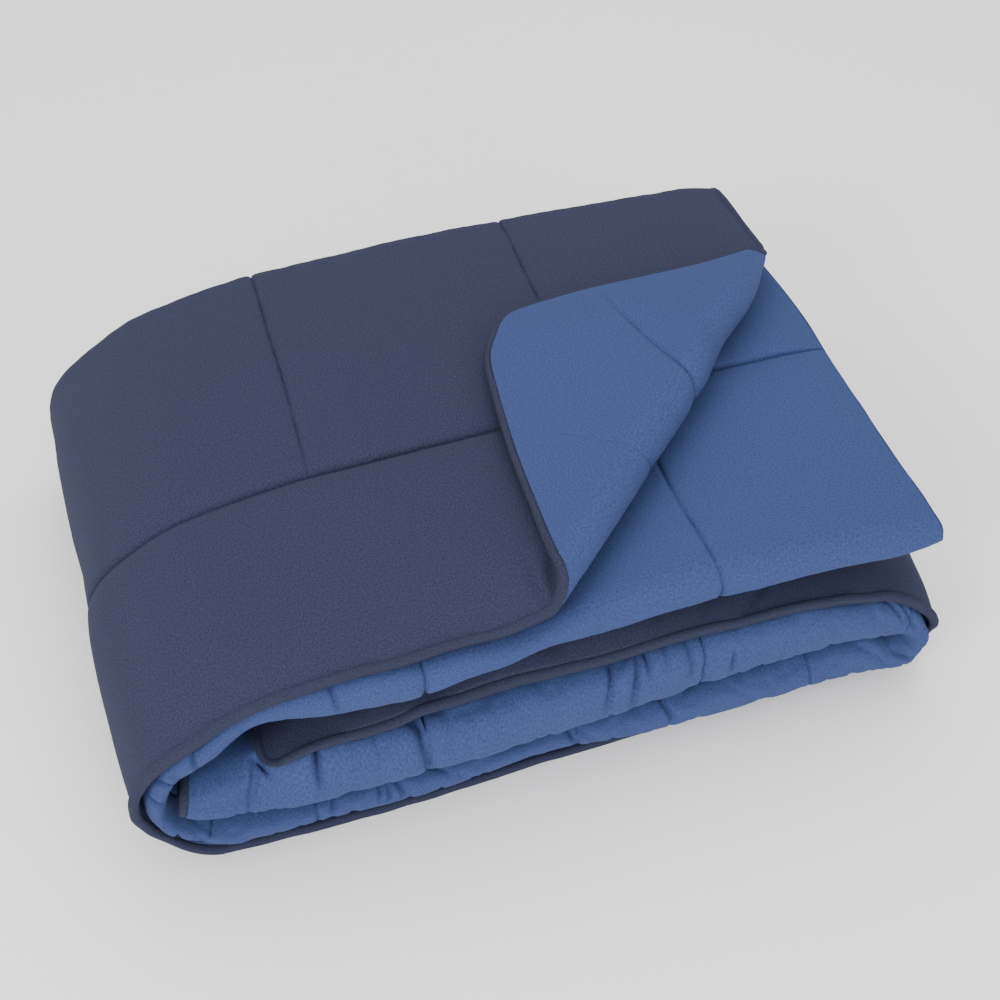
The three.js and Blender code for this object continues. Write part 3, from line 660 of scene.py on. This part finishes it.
# one wave moves x, one y and one z, each uneven over two axes
SETTLE_COLUMNS = ["a", "size_a", "b", "size_b", "shift_b", "seed"]
SETTLE_TABLE = [["y", 70, "z", 34, 5, 11], ["x", 62, "z", 30, 3, 12], ["x", 85, "y", 110, 0, 13]]
SETTLE_WAVES = [dict(zip(SETTLE_COLUMNS, row)) for row in SETTLE_TABLE]
PUSH_COLUMNS = ["x", "y", "z", "reach_x", "reach_y", "reach_z", "dx", "dy", "dz"]
PUSH_TABLE = [
    # right end
    [345, -255, 30, 50, 55, 40, -2, -5, -8],
    [370, -235, 88, 48, 60, 48, -12, -19, -1],
    [338, -248, 12, 30, 40, 24, 22, -2, 0],
    [300, -250, 66, 42, 50, 14, 0, 0, 9],
    [300, -250, 95, 45, 50, 14, 0, 0, -5],
    [370, 95, 172, 60, 110, 35, 9, 0, 0],
    [330, 160, 240, 60, 80, 50, -3, 0, 0],
    [330, -240, 195, 100, 70, 40, 3, -8, -4],
    # folds and hem in front, low down
    [-60, -262, 78, 330, 50, 34, 0, -3, -9],
    [200, -262, 82, 130, 50, 34, 0, -2, -8],
    [-170, -258, 20, 230, 50, 40, 0, 5, 0],
    [-150, -262, 34, 200, 40, 18, 0, 0, 4],
    [-190, -250, 4, 130, 30, 16, 0, -3, 0],
    [150, -262, 30, 130, 50, 36, 0, -4, -2],
    [-240, -262, 62, 75, 45, 20, 0, -4, -5],
    # the end of the quilt, on the left
    [-300, -258, 80, 50, 45, 35, -7, -4, -7],
    [-262, -262, 92, 36, 30, 18, 0, 8, -3],
    [-258, -246, 128, 34, 34, 17, -12, -9, -5],
    [-160, -250, 128, 80, 30, 24, 0, 0, 6],
    [5, -250, 148, 60, 30, 20, 0, -2, -4],
    # the fold under the top layer
    [-165, -244, 172, 42, 40, 26, 0, 3, 7],
    [-82, -244, 172, 40, 40, 28, 0, 4, 13],
    [-30, -242, 172, 48, 40, 28, 0, 4, 12],
    [130, -236, 150, 60, 40, 20, 0, -2, -2],
    [125, -245, 190, 50, 40, 16, 0, -2, -3],
    # the top layer's hem
    [-295, -246, 180, 60, 45, 40, 0, -4, -4],
    [-185, -246, 207, 60, 40, 22, 0, 0, 5],
    [-50, -246, 222, 45, 45, 24, 0, -5, -6],
    # the turned-back corner
    [60, -110, 262, 170, 150, 45, -14, 2, 0],
    [90, 60, 262, 120, 60, 40, 0, 12, 0],
    [322, 85, 252, 60, 60, 40, -8, -2, 0],
    [236, -12, 250, 44, 44, 30, -9, 1, 0],
    # small pushes, after the large ones
    [-256, -243, 107, 13, 30, 16, 8, 0, 7],
    [-226, -243, 111, 34, 30, 13, 0, 0, 9],
    [-200, -243, 116, 24, 30, 13, 0, 0, 5],
    [-120, -244, 129, 22, 30, 14, 0, 0, 5],
    [195, -246, 126, 80, 30, 16, 0, 0, 8],
    [-20, -258, 36, 70, 40, 26, 0, 2, 9],
    [-344, -252, 62, 34, 40, 26, 0, 3, 10],
    [-325, -253, 42, 22, 40, 20, 0, 0, 5],
    [354, -246, 106, 25, 40, 18, 5, 0, 0],
    [318, -248, 106, 26, 40, 18, 0, 0, 6],
    [-105, -260, 184, 60, 40, 20, 0, 0, 4],
    [-310, -248, 90, 20, 40, 26, -7, 0, -5],
    [160, 76, 256, 110, 34, 30, 0, 4, 0],
    [31, 45, 257, 24, 24, 30, 6, -2, 0],
    [-361, -112, 135, 30, 80, 50, -7, 0, 0],
    [-350, 232, 166, 60, 60, 50, 4, -2, -4],
    [335, 60, 198, 50, 90, 45, 7, 0, 0],
    [335, -120, 198, 50, 110, 30, 4, 0, 0],
]
PUSHES = [dict(zip(PUSH_COLUMNS, row)) for row in PUSH_TABLE]


def settled(points):
    """The same points in a stack that has been pushed and has sagged a little."""
    for push in PUSHES:
        distance = sum(((points[..., k] - push[axis]) / push["reach_" + axis]) ** 2
                       for k, axis in enumerate("xyz"))
        way = np.array([push["dx"], push["dy"], push["dz"]])
        points = points + np.exp(-distance)[..., None] * way
    points[..., 2] = np.maximum(points[..., 2], 0)
    axes = dict(x=points[..., 0], y=points[..., 1], z=points[..., 2])
    above = np.clip(axes["z"] / SETTLE_FREE, 0, 1)
    moved = []
    for wave in SETTLE_WAVES:
        a = axes[wave["a"]] / wave["size_a"]
        b = axes[wave["b"]] / wave["size_b"] + wave["shift_b"]
        moved.append(SETTLE * uneven(a, b, wave["seed"]) * above)
    return points + np.stack(moved, -1)


print(len(PUSHES), "pushes, up to", -min(push["dy"] for push in PUSHES), "mm to the front")

# %% [markdown]
# ## Fold it up
# Now everything meets in one function: it takes a flat place and a height over the quilt's middle
# and gives the point in the folded stack. Cloth and binding both go through it, so they stay sewn
# together. The origin of the part is under the stack's middle, so the result is shifted there.

# %% Put a flat place in the stack
HEM_DROOP = 7
DROOP_REACH = 70
TO_ORIGIN = np.array([5.0, 10.96, 0])


def place(u, v, h):
    """Points in the folded quilt, in millimetres, for flat places at height h towards the navy."""
    u, v, h = np.broadcast_arrays(u, v, h)
    row = row_at(u + slip(u, v))
    y, w, ny, nw = section(v, winding("hem", row), winding("fold", row))
    outer, inner = faces(row, y)
    through = inner - outer
    thickness = np.linalg.norm(through, axis=-1)
    scale = np.minimum(thickness / (3 * LAYER_PITCH), LOFT_LIMIT)
    in_corner = (v <= TOP_LAYER) & (u <= CORNER_PART)
    past = np.where(in_corner, past_crease(outer[..., 0], y), -FAR)
    point = outer + through * w[..., None]
    near_hem = np.maximum(0, 1 - np.maximum(v, 0) / DROOP_REACH) ** 2
    point[..., 2] -= HEM_DROOP * scale * np.clip(-past / LIFT_REACH, 0, 1) * near_hem
    point[..., 2] += lift_at(past)
    lowest = np.maximum(BINDING_RADIUS, half_thickness(u, v) * scale)
    point[..., 2] = np.maximum(point[..., 2], lowest)
    point += through * (nw * h * scale / thickness)[..., None]
    point[..., 1] = y + ny * h
    point[..., 2] = np.maximum(point[..., 2], 0)

    turn = np.clip(past / ROLL_RADIUS, 0, math.pi)
    beyond = np.maximum(past - math.pi * ROLL_RADIUS, 0) * FLAP_SHRINK
    across = np.where(turn < math.pi, ROLL_RADIUS * np.sin(turn), -beyond)
    x = outer[..., 0] + (across - past) * ex
    flap_y = y + (across - past) * ey
    z = top_layer_z(x, flap_y) + lift_at(across) + ROLL_RADIUS * (1 - np.cos(turn))
    tilt = h * np.sin(turn)
    rolled = np.stack([x - tilt * ex, flap_y - tilt * ey, z + h * np.cos(turn)], -1)
    return settled(np.where((past > 0)[..., None], rolled, point)) + TO_ORIGIN


print("middle of the top layer at", place(np.array([600.0]), np.array([240.0]), 0.0).round(1))

# %% [markdown]
# ## A net of lines on the flat cloth
# The mesh is a net of squares on the flat quilt. Its lines crowd together at seams, deep creases,
# folds and hems, where the surface turns sharply, and are wide apart in the quiet middle of a pad. An
# even grid with a Subdivision Surface modifier would need several times the faces for the same grooves.

# %% Lay out the net
SEAM_STEPS = np.array([-8, -4.2, -2.2, -1, 0, 1, 2.2, 4.2, 8])
HEM_STEPS = np.array([0, 1.5, 4, 8, 13, 19, 26, 34, CORNER_RADIUS])
CREASE_STEPS = np.array([-4.8, -2.9, -1.3, 0, 1.3, 2.9, 4.8])
DEEP = 6
ALONG_STEP = 3.4
LINE_GAP = 0.7
SPARE_STEP = 0.2
NO_SEAM_NEAR_END = 60
STEPS_ACROSS = [
    dict(to=TOP_LAYER, step=5),
    dict(to=BACK_FOLD[1], step=5),
    dict(to=FRONT_FOLD[0] - 24, step=12),
    dict(to=FRONT_FOLD[1] + 20, step=2.2),
    dict(to=FLAT_WIDTH, step=22),
]


def fill(stops, step_at):
    """Adds evenly spaced lines wherever two stops are more than a step apart."""
    lines = []
    for a, b in zip(stops[:-1], stops[1:]):
        count = max(1, math.ceil((b - a) / step_at((a + b) / 2) - SPARE_STEP))
        lines.extend(a + (b - a) * np.arange(count) / count)
    return np.array(lines + [stops[-1]])


def merged(*groups):
    """All stops in order, without those that come too close to the one before."""
    stops = np.sort(np.concatenate(groups))
    keep = [stops[0]]
    for stop in stops[1:]:
        if stop - keep[-1] > LINE_GAP:
            keep.append(stop)
    return np.array(keep)


def step_across(v):
    """How far apart the lines should be at a distance from the front hem."""
    return next(part["step"] for part in STEPS_ACROSS if v <= part["to"])


cross_seams = np.concatenate([row["first"] + PAD_LENGTH * np.arange(-1, 11) for row in ROWS_OF_PADS])
cross_seams = along_winding(np.unique(cross_seams))
from_ends = np.minimum(cross_seams, WOUND_LENGTH - cross_seams)
cross_seams = cross_seams[from_ends > NO_SEAM_NEAR_END]
deep_creases = [crease["u"] for crease in CREASES if crease["side"] < 0 and crease["deep"] >= DEEP]
u_stops = merged(HEM_STEPS, WOUND_LENGTH - HEM_STEPS, *[c + SEAM_STEPS[1:-1] for c in cross_seams],
                 *[c + CREASE_STEPS for c in deep_creases])
u_lines = fill(u_stops, lambda u: ALONG_STEP)
row_seams = [row["to"] for row in ROWS_OF_PADS[:-1]]
v_stops = merged(HEM_STEPS, FLAT_WIDTH - HEM_STEPS, *[c + SEAM_STEPS for c in row_seams],
                 [part["to"] for part in STEPS_ACROSS])
v_lines = fill(v_stops, step_across)
print(len(u_lines), "lines along and", len(v_lines), "across")

# %% [markdown]
# The net has square corners and the quilt round ones, so the lines near a corner are squeezed in.
# Near the turned-back corner the net also follows the two seams that run askew there.

# %% Bend the net to the cut of the cloth
CORNER_BLEND = 105
SLANT_REACH = 300
SLANT_HOLD = 3
SLANT_END = 60


def slant_shift(u, line_v):
    """How far the net is pushed along so that one of its lines follows the slanted seam."""
    seam = ROWS_OF_PADS[0]["first"]
    window = np.where(u < seam, u / seam, np.clip(1 - (u - seam) / SLANT_REACH, 0, 1))
    ending = np.clip((line_v - FIRST_ROW - SLANT_HOLD) / SLANT_END, 0, 1)
    v = line_v - corner_pull(seam, line_v)
    return (slanted(v) - seam) * window * (1 - ending**2 * (3 - 2 * ending))


def corner_radius(u, v):
    """Three corners are round; the one where the winding ends in front is nearly square."""
    return np.where((u > WOUND_LENGTH / 2) & (v < CORNER_RADIUS), END_CORNER_RADIUS, CORNER_RADIUS)


def net(u_lines, v_lines):
    """Flat places (u, v) of the net's knots, bent to the askew seams and the round corners."""
    u, line_v = np.meshgrid(u_lines, v_lines)
    u = u + slant_shift(u, line_v)
    v = line_v - corner_pull(u, line_v)
    from_hem = np.minimum(v, FLAT_WIDTH - v)
    radius = corner_radius(u, v)
    up = np.clip(radius - from_hem, 0, radius)
    inset = radius - np.sqrt(radius**2 - up**2)
    from_end = WOUND_LENGTH - u
    right = inset + u * (1 - inset / CORNER_BLEND)
    left = WOUND_LENGTH - inset - from_end * (1 - inset / CORNER_BLEND)
    return np.where(u < CORNER_BLEND, right, np.where(from_end < CORNER_BLEND, left, u)), v


flat_u, flat_v = net(u_lines, v_lines)
count_v, count_u = flat_u.shape


def rim_of(rows, columns):
    """Row and column of each knot along the net's rim, anticlockwise."""
    return ([(0, i) for i in range(columns)]
            + [(j, columns - 1) for j in range(1, rows)]
            + [(rows - 1, i) for i in range(columns - 2, -1, -1)]
            + [(j, 0) for j in range(rows - 2, 0, -1)])


rim = rim_of(count_v, count_u)
print(len(rim), "knots along the rim")

# %% [markdown]
# ## One side of the quilt
# Each side is a closed body: the cloth that shows, and a plain inner face along the quilt's middle.
# Solidify could close it, but it gives the same thickness everywhere and as many faces again. Nobody
# sees the inner face, so it is made of every few lines of the net, and the two are joined round the
# rim, where the binding covers the join.

# %% Make a closed body from a cloth
INNER_EVERY = 5
PANEL_GAP = 0.15


def mesh_object(name, points, polygons, uv=None):
    """A Blender object from points in millimetres; uv gives each point its place on the cloth."""
    mesh = bpy.data.meshes.new(name)
    mesh.from_pydata((np.asarray(points) / MM_PER_M).tolist(), [], polygons)
    mesh.polygons.foreach_set("use_smooth", [True] * len(mesh.polygons))
    if uv is not None:
        layer = mesh.uv_layers.new(name="cloth")
        corners = np.zeros(len(mesh.loops), int)
        mesh.loops.foreach_get("vertex_index", corners)
        layer.data.foreach_set("uv", np.asarray(uv, np.float32)[corners].ravel())
    mesh.validate()
    made = bpy.data.objects.new(name, mesh)
    bpy.context.scene.collection.objects.link(made)
    return made


def padded_side(name, side, height):
    """The navy side (1) or the blue side (-1) with its half of the filling."""
    outer = place(flat_u, flat_v, side * height)
    picks_u = sorted(set(range(0, count_u, INNER_EVERY)) | {count_u - 1})
    picks_v = sorted(set(range(0, count_v, INNER_EVERY)) | {count_v - 1})
    inner_u = flat_u[np.ix_(picks_v, picks_u)]
    inner_v = flat_v[np.ix_(picks_v, picks_u)]
    inner = place(inner_u, inner_v, side * PANEL_GAP)
    points = np.concatenate([outer.reshape(-1, 3), inner.reshape(-1, 3)])
    uv = np.concatenate([np.stack([along_cloth(flat_u), flat_v], -1).reshape(-1, 2),
                         np.stack([along_cloth(inner_u), inner_v], -1).reshape(-1, 2)]) / MM_PER_M
    start = count_u * count_v
    wide = len(picks_u)

    def knot(j, i):
        return j * count_u + i

    def inner_knot(j, i):
        return start + j * wide + i

    quads = [(knot(j, i), knot(j, i + 1), knot(j + 1, i + 1), knot(j + 1, i))
             for j in range(count_v - 1) for i in range(count_u - 1)]
    quads += [(inner_knot(j, i), inner_knot(j + 1, i), inner_knot(j + 1, i + 1), inner_knot(j, i + 1))
              for j in range(len(picks_v) - 1) for i in range(wide - 1)]
    # every knot of the outer rim is joined to the nearest one of the inner rim
    inner_rim = [inner_knot(j, i) for j, i in rim_of(len(picks_v), wide)]
    picked = [k for k, (j, i) in enumerate(rim) if j in picks_v and i in picks_u]
    owner = np.abs(np.subtract.outer(np.arange(len(rim) + 1), picked + [len(rim)])).argmin(1)
    for k in range(len(rim)):
        a = knot(*rim[k])
        b = knot(*rim[(k + 1) % len(rim)])
        c = inner_rim[owner[k] % len(inner_rim)]
        d = inner_rim[owner[k + 1] % len(inner_rim)]
        quads.append((b, a, c))
        if c != d:
            quads.append((b, c, d))
    if side < 0:
        quads = [q[::-1] for q in quads]
    return mesh_object(name, points, quads, uv)


# %% Make the navy and the blue side
THINNEST = 1.5


def creased_height(side):
    """Height of one side's cloth over the quilt's middle, with its creases."""
    height = half_thickness(flat_u, flat_v, side)
    return np.maximum(height - creases(flat_u, flat_v, side), np.minimum(height, THINNEST))


navy_side = padded_side("navy_side", 1, creased_height(1))
blue_side = padded_side("blue_side", -1, creased_height(-1))
for cloth in (navy_side, blue_side):
    print(cloth.name, len(cloth.data.polygons), "faces")

# %% [markdown]
# ## The binding
# A folded tape is sewn over both edges all round. A curve with a bevel could carry it, but a curve
# turns its section freely in the bends. So the tape is swept along the rim ring by ring: at each knot
# a flattened ring stands on the outward direction and on the quilt's own thickness. The tape sits a
# little towards the navy side, because the blue padding is plumper at the hem, and at the right hem of
# the two lower layers it is tucked in further still.

# %% Sweep the binding along the rim
RING_SIDES = 12
TAPE_WIDTH = 8.2
TAPE_THICK = 8.8
TAPE_SHIFT = 0.8
END_SHIFT = 2.8
END_TUCK = 2.8
END_REACH = 50
TAPE_OVERLAP = 1.8
RING_POWER = 0.8
TAPE_WAVE = 0.9
TAPE_WAVE_SIZE = 21
TAPE_SEED = 41


def outwards(u, v):
    """Direction out of the flat quilt at places on its rim."""
    radius = corner_radius(u, v)
    centre_u = np.clip(u, radius, WOUND_LENGTH - radius)
    centre_v = np.clip(v, radius, FLAT_WIDTH - radius)
    out = np.stack([u - centre_u, v - centre_v], -1)
    return out / np.linalg.norm(out, axis=-1, keepdims=True)


def unit(vectors):
    """The same directions, each one long."""
    return vectors / np.linalg.norm(vectors, axis=-1, keepdims=True)


def bound_edge(name):
    """The tape as a closed ring of rings."""
    rim_u = np.array([flat_u[k] for k in rim])
    rim_v = np.array([flat_v[k] for k in rim])
    out = outwards(rim_u, rim_v)
    edge = place(rim_u, rim_v, 0.0)
    along = unit(edge - place(rim_u - out[:, 0], rim_v - out[:, 1], 0.0))
    upwards = unit(place(rim_u, rim_v, 1.0) - edge)
    angles = 2 * math.pi * (np.arange(RING_SIDES) + 0.5) / RING_SIDES
    flattened = np.sign(np.cos(angles)) * np.abs(np.cos(angles)) ** RING_POWER
    reach = TAPE_WIDTH / 2 * (1 + flattened) - TAPE_OVERLAP
    at_end = np.clip(1 - rim_u / END_REACH, 0, 1) * np.clip((rim_v - TOP_LAYER) / FOLD_ARC, 0, 1)
    height = (TAPE_SHIFT + END_SHIFT * at_end)[:, None] + TAPE_THICK / 2 * np.sin(angles)
    reach = reach - END_TUCK * at_end[:, None]
    travelled = np.cumsum(np.linalg.norm(edge - np.roll(edge, 1, 0), axis=1))
    waves = TAPE_WAVE * uneven(travelled / TAPE_WAVE_SIZE, 0 * travelled, TAPE_SEED)
    edge = edge + upwards * waves[:, None]
    rings = edge[:, None] + along[:, None] * reach[..., None] + upwards[:, None] * height[..., None]
    rings[..., 2] = np.maximum(rings[..., 2], 0)
    uv = np.stack(np.broadcast_arrays(travelled[:, None], angles[None] * TAPE_WIDTH / 2), -1) / MM_PER_M
    quads = []
    for k in range(len(rim)):
        here = k * RING_SIDES
        there = (k + 1) % len(rim) * RING_SIDES
        for m in range(RING_SIDES):
            n = (m + 1) % RING_SIDES
            quads.append((here + m, here + n, there + n, there + m))
    return mesh_object(name, rings.reshape(-1, 3), quads, uv.reshape(-1, 2))


tape = bound_edge("tape")
print(tape.name, len(tape.data.polygons), "faces")

# %% [markdown]
# ## Cotton
# Both sides are plain-woven cotton that has been washed: matt, a little fuzzy, with threads about
# a millimetre apart. A photograph of cloth could be wrapped round, but two crossed wave textures need
# no picture and never repeat visibly. They are drawn on the cloth's own flat coordinates, so the weave
# follows every fold, and a fine noise mottles the dye between a dark and a light tone.

# %% Weave the cottons
THREAD_MM = 1.1
# a wave texture at scale 1 has this many waves to one unit of the map, which is a metre here
WAVES_AT_SCALE_1 = 20 / (2 * math.pi)


def node(tree, kind, x, y, **values):
    """A new shader node at a place in the editor, with its settings."""
    made = tree.nodes.new(kind)
    made.location = (x, y)
    for key, value in values.items():
        setattr(made, key, value)
    return made


def dial(made, sockets):
    """Sets a node's input sockets."""
    for name, value in sockets.items():
        made.inputs[name].default_value = value


def cotton(name, dark, light):
    """A matt woven cotton, mottled between a dark and a light tone of one colour."""
    material = bpy.data.materials.new(name)
    material.use_nodes = True
    tree = material.node_tree
    link = tree.links.new
    shader = tree.nodes["Principled BSDF"]
    dial(shader, {"Roughness": 0.92, "Specular IOR Level": 0.08})
    dial(shader, {"Sheen Weight": 0.02, "Sheen Roughness": 0.5})
    cloth = node(tree, "ShaderNodeUVMap", -1200, 0, uv_map="cloth")
    heights = []
    for k, direction in enumerate(("X", "Y")):
        wave = node(tree, "ShaderNodeTexWave", -900, -250 * k, bands_direction=direction)
        dial(wave, {"Scale": MM_PER_M / THREAD_MM / WAVES_AT_SCALE_1, "Distortion": 1.2})
        dial(wave, {"Detail": 1.0, "Detail Scale": 0.6})
        link(cloth.outputs["UV"], wave.inputs["Vector"])
        heights.append(wave)
    crossing = node(tree, "ShaderNodeMath", -650, -100, operation="MAXIMUM")
    link(heights[0].outputs["Fac"], crossing.inputs[0])
    link(heights[1].outputs["Fac"], crossing.inputs[1])
    mottle = node(tree, "ShaderNodeTexNoise", -900, 300)
    dial(mottle, {"Scale": 620, "Detail": 2})
    link(cloth.outputs["UV"], mottle.inputs["Vector"])
    tones = node(tree, "ShaderNodeValToRGB", -450, 300)
    for stop, place_on_ramp, colour in zip(tones.color_ramp.elements, (0.3, 0.7), (dark, light)):
        stop.position = place_on_ramp
        stop.color = (*colour, 1)
    link(mottle.outputs["Fac"], tones.inputs["Fac"])
    link(tones.outputs["Color"], shader.inputs["Base Color"])
    relief = node(tree, "ShaderNodeBump", -250, -200)
    dial(relief, {"Strength": 0.5, "Distance": 0.0004})
    link(crossing.outputs["Value"], relief.inputs["Height"])
    link(relief.outputs["Normal"], shader.inputs["Normal"])
    return material


for piece, name, dark, light in (
        (navy_side, "navy_cotton", (0.0188, 0.0213, 0.0447), (0.0359, 0.0399, 0.0778)),
        (blue_side, "blue_cotton", (0.0270, 0.0430, 0.1230), (0.0480, 0.0710, 0.1820)),
        (tape, "tape_cotton", (0.0185, 0.0210, 0.0425), (0.0325, 0.0365, 0.0690))):
    piece.data.materials.append(cotton(name, dark, light))
    print(piece.name, "is made of", name)

# %% [markdown]
# ## Join the visual pieces to the part
# Each piece rides on the one rigid body and stands for the solid it covers, which is hidden.
# The two sides are padded pieces.

# %% Tie the pieces to the solids
for piece, solid, finish in ((navy_side, "face_panel", "face_cotton"),
                             (blue_side, "reverse_panel", "reverse_cotton"),
                             (tape, "edge_binding", "binding_tape")):
    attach(piece, "root")
    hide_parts(solid)

# %% [markdown]
# ## Floor, light and camera
# The quilt lies on a plain pale floor in soft light from above, the left and the front, so that the
# folds are read from their shape and not from hard shadows. Most of the light comes from the world,
# evenly, and the three lamps only give it a direction. The camera looks down from the front left. Its
# place, turn and lens were found by laying the stack's corners over the photograph's.

# %% Lay the floor
bpy.ops.object.select_all(action="DESELECT")
bpy.ops.mesh.primitive_plane_add(size=12, location=(0, 0, -0.0005))
floor = bpy.context.object
floor.name = "floor"
pale = bpy.data.materials.new("pale_floor")
pale.use_nodes = True
dial(pale.node_tree.nodes["Principled BSDF"], {"Base Color": (0.92, 0.92, 0.92, 1), "Roughness": 0.9})
floor.data.materials.append(pale)
print("floor", round(floor.dimensions.x), "m wide")

# %% Light it softly
world = bpy.data.worlds.new("studio")
bpy.context.scene.world = world
world.use_nodes = True
dial(world.node_tree.nodes["Background"], {"Color": (1, 1, 1, 1), "Strength": 1.2})
STACK_MIDDLE = Vector((0, 0, 0.1))


def soft_light(name, place_m, size, watts):
    """A square soft light that looks at the stack."""
    lamp = bpy.data.lights.new(name, "AREA")
    lamp.size = size
    lamp.energy = watts
    made = bpy.data.objects.new(name, lamp)
    made.location = place_m
    made.rotation_euler = (STACK_MIDDLE - Vector(place_m)).to_track_quat("-Z", "Y").to_euler()
    bpy.context.scene.collection.objects.link(made)
    print(name, watts, "W")


soft_light("overhead", (0.3, 0.5, 2.4), 2.0, 30)
soft_light("left", (-1.7, -1.3, 1.6), 0.8, 36)
soft_light("front", (0.4, -2.4, 0.8), 1.2, 27)

# %% Aim the camera
CAMERA_MM = np.array([-237.88, -827.88, 1062.57])
TURNED_RIGHT = 17.402
LOOKING_DOWN = 48.487
lens = bpy.data.cameras.new("camera")
lens.sensor_width = 36
lens.lens = 48.27
camera = bpy.data.objects.new("camera", lens)
camera.location = (CAMERA_MM + TO_ORIGIN) / MM_PER_M
camera.rotation_euler = (math.radians(90 - LOOKING_DOWN), 0, -math.radians(TURNED_RIGHT))
bpy.context.scene.collection.objects.link(camera)
bpy.context.scene.camera = camera
bpy.context.view_layer.update()
print("camera at", [round(x, 3) for x in camera.matrix_world.translation])
